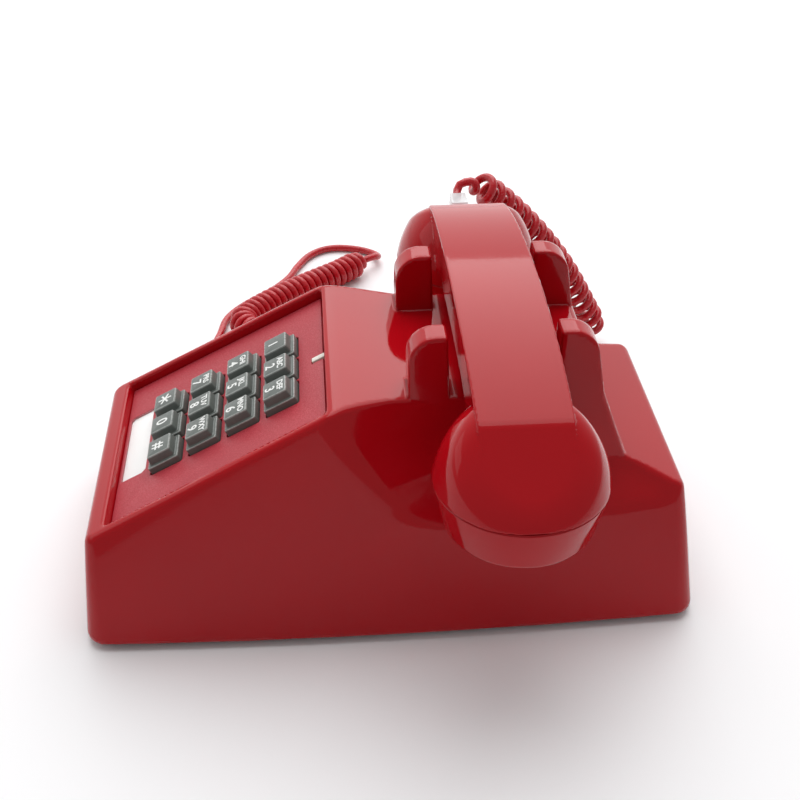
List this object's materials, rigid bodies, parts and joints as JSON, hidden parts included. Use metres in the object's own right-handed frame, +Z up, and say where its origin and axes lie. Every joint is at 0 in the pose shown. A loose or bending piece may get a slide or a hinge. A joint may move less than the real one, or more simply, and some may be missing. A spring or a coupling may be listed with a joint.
{
  "type": "push-button desk telephone",
  "caption": "Desk telephone with a push-button keypad on a sloping face, a four-pronged cradle across its back, a corded handset and a bell ringer inside.",
  "frame": {"origin": "under the middle of the base, on the surface that it stands on", "axes": "+X the user's right, -Y the keypad's side, +Z up"},
  "size_m": [0.3723, 0.246, 0.124],
  "materials": {
    "shell_red": "polished moulded ABS",
    "panel_red": "fine grain texture",
    "key_grey": "satin",
    "cord_red": "smooth vinyl jacket",
    "paper": "white card",
    "clear_plastic": "clear",
    "rubber": "matt",
    "steel": "zinc plated",
    "gong_brass": "satin",
    "copper": "enamelled winding",
    "circuit_board": "solder mask",
    "black_plastic": "moulded",
    "ivory_plastic": "moulded"
  },
  "bodies": {
    "base": {"base_plate": "steel", "base_plug": "clear_plastic", "base_screw_left": "steel", "base_screw_right": "steel", "board_post_1": "ivory_plastic", "board_post_2": "ivory_plastic", "board_post_3": "ivory_plastic", "card_window": "clear_plastic", "cord_coil_hanging": "cord_red", "cord_coil_resting": "cord_red", "cord_tail_base": "cord_red", "dome_sheet": "rubber", "faceplate": "panel_red", "faceplate_latch": "ivory_plastic", "foot_front_left": "rubber", "foot_front_right": "rubber", "foot_rear_left": "rubber", "foot_rear_right": "rubber", "gong_large": "gong_brass", "gong_large_post": "steel", "gong_small": "gong_brass", "gong_small_post": "steel", "handset_jack": "black_plastic", "hook_bracket": "steel", "hook_contacts": "black_plastic", "hook_spring": "steel", "housing": "shell_red", "keypad_board": "circuit_board", "keypad_frame": "black_plastic", "line_jack": "black_plastic", "main_board": "circuit_board", "network_block": "black_plastic", "number_card": "paper", "ringer_coil": "copper", "ringer_frame": "steel", "wheel_pin": "steel"},
    "key_1": {"key_1": "key_grey"},
    "key_2": {"key_2": "key_grey"},
    "key_3": {"key_3": "key_grey"},
    "key_4": {"key_4": "key_grey"},
    "key_5": {"key_5": "key_grey"},
    "key_6": {"key_6": "key_grey"},
    "key_7": {"key_7": "key_grey"},
    "key_8": {"key_8": "key_grey"},
    "key_9": {"key_9": "key_grey"},
    "key_star": {"key_star": "key_grey"},
    "key_0": {"key_0": "key_grey"},
    "key_hash": {"key_hash": "key_grey"},
    "plunger_left": {"plunger_left": "shell_red"},
    "plunger_right": {"plunger_right": "shell_red"},
    "hook_lever": {"hook_lever": "steel"},
    "clapper": {"clapper": "steel"},
    "volume_wheel": {"volume_wheel": "black_plastic"},
    "handset": {"handset_body": "shell_red", "receiver_cap": "shell_red", "transmitter_cap": "shell_red", "receiver_capsule": "steel", "transmitter_capsule": "black_plastic", "handset_plug": "clear_plastic", "cord_tail_handset": "cord_red"}
  },
  "joints": [
    {"name": "key_1_press", "type": "slide", "parent": "base", "child": "key_1", "axis": [0, 0.4726, -0.8813], "range_m": [0, 0.003], "stiffness_N_per_m": 200},
    {"name": "key_2_press", "type": "slide", "parent": "base", "child": "key_2", "axis": [0, 0.4726, -0.8813], "range_m": [0, 0.003], "stiffness_N_per_m": 200},
    {"name": "key_3_press", "type": "slide", "parent": "base", "child": "key_3", "axis": [0, 0.4726, -0.8813], "range_m": [0, 0.003], "stiffness_N_per_m": 200},
    {"name": "key_4_press", "type": "slide", "parent": "base", "child": "key_4", "axis": [0, 0.4726, -0.8813], "range_m": [0, 0.003], "stiffness_N_per_m": 200},
    {"name": "key_5_press", "type": "slide", "parent": "base", "child": "key_5", "axis": [0, 0.4726, -0.8813], "range_m": [0, 0.003], "stiffness_N_per_m": 200},
    {"name": "key_6_press", "type": "slide", "parent": "base", "child": "key_6", "axis": [0, 0.4726, -0.8813], "range_m": [0, 0.003], "stiffness_N_per_m": 200},
    {"name": "key_7_press", "type": "slide", "parent": "base", "child": "key_7", "axis": [0, 0.4726, -0.8813], "range_m": [0, 0.003], "stiffness_N_per_m": 200},
    {"name": "key_8_press", "type": "slide", "parent": "base", "child": "key_8", "axis": [0, 0.4726, -0.8813], "range_m": [0, 0.003], "stiffness_N_per_m": 200},
    {"name": "key_9_press", "type": "slide", "parent": "base", "child": "key_9", "axis": [0, 0.4726, -0.8813], "range_m": [0, 0.003], "stiffness_N_per_m": 200},
    {"name": "key_star_press", "type": "slide", "parent": "base", "child": "key_star", "axis": [0, 0.4726, -0.8813], "range_m": [0, 0.003], "stiffness_N_per_m": 200},
    {"name": "key_0_press", "type": "slide", "parent": "base", "child": "key_0", "axis": [0, 0.4726, -0.8813], "range_m": [0, 0.003], "stiffness_N_per_m": 200},
    {"name": "key_hash_press", "type": "slide", "parent": "base", "child": "key_hash", "axis": [0, 0.4726, -0.8813], "range_m": [0, 0.003], "stiffness_N_per_m": 200},
    {"name": "handset_lift", "type": "slide", "parent": "base", "child": "handset", "axis": [0, 0, 1], "range_m": [0, 0.09], "deforming": ["cord_coil_hanging"]},
    {"name": "plunger_left_rise", "type": "slide", "parent": "base", "child": "plunger_left", "axis": [0, 0, 1], "range_m": [0, 0.005]},
    {"name": "plunger_right_rise", "type": "slide", "parent": "base", "child": "plunger_right", "axis": [0, 0, 1], "range_m": [0, 0.005]},
    {"name": "hook_lever_rock", "type": "hinge", "parent": "base", "child": "hook_lever", "pos_m": [0, 0.057, 0.0664], "axis": [-1, 0, 0], "range_deg": [0, 18], "deforming": ["hook_spring"]},
    {"name": "clapper_swing", "type": "hinge", "parent": "base", "child": "clapper", "pos_m": [0, 0.061, 0.022], "axis": [0, 0, 1], "range_deg": [-15, 15], "stiffness_Nm_per_rad": 0.002},
    {"name": "volume_wheel_turn", "type": "hinge", "parent": "base", "child": "volume_wheel", "pos_m": [-0.0535, 0.033, 0.0065], "axis": [0, 0, 1], "range_deg": [0, 120]}
  ],
  "couplings": [
    {"joint": "plunger_left_rise", "follows": "handset_lift", "ratio": 0.055556},
    {"joint": "plunger_right_rise", "follows": "handset_lift", "ratio": 0.055556},
    {"joint": "hook_lever_rock", "follows": "handset_lift", "rad_per_m": 3.49}
  ]
}
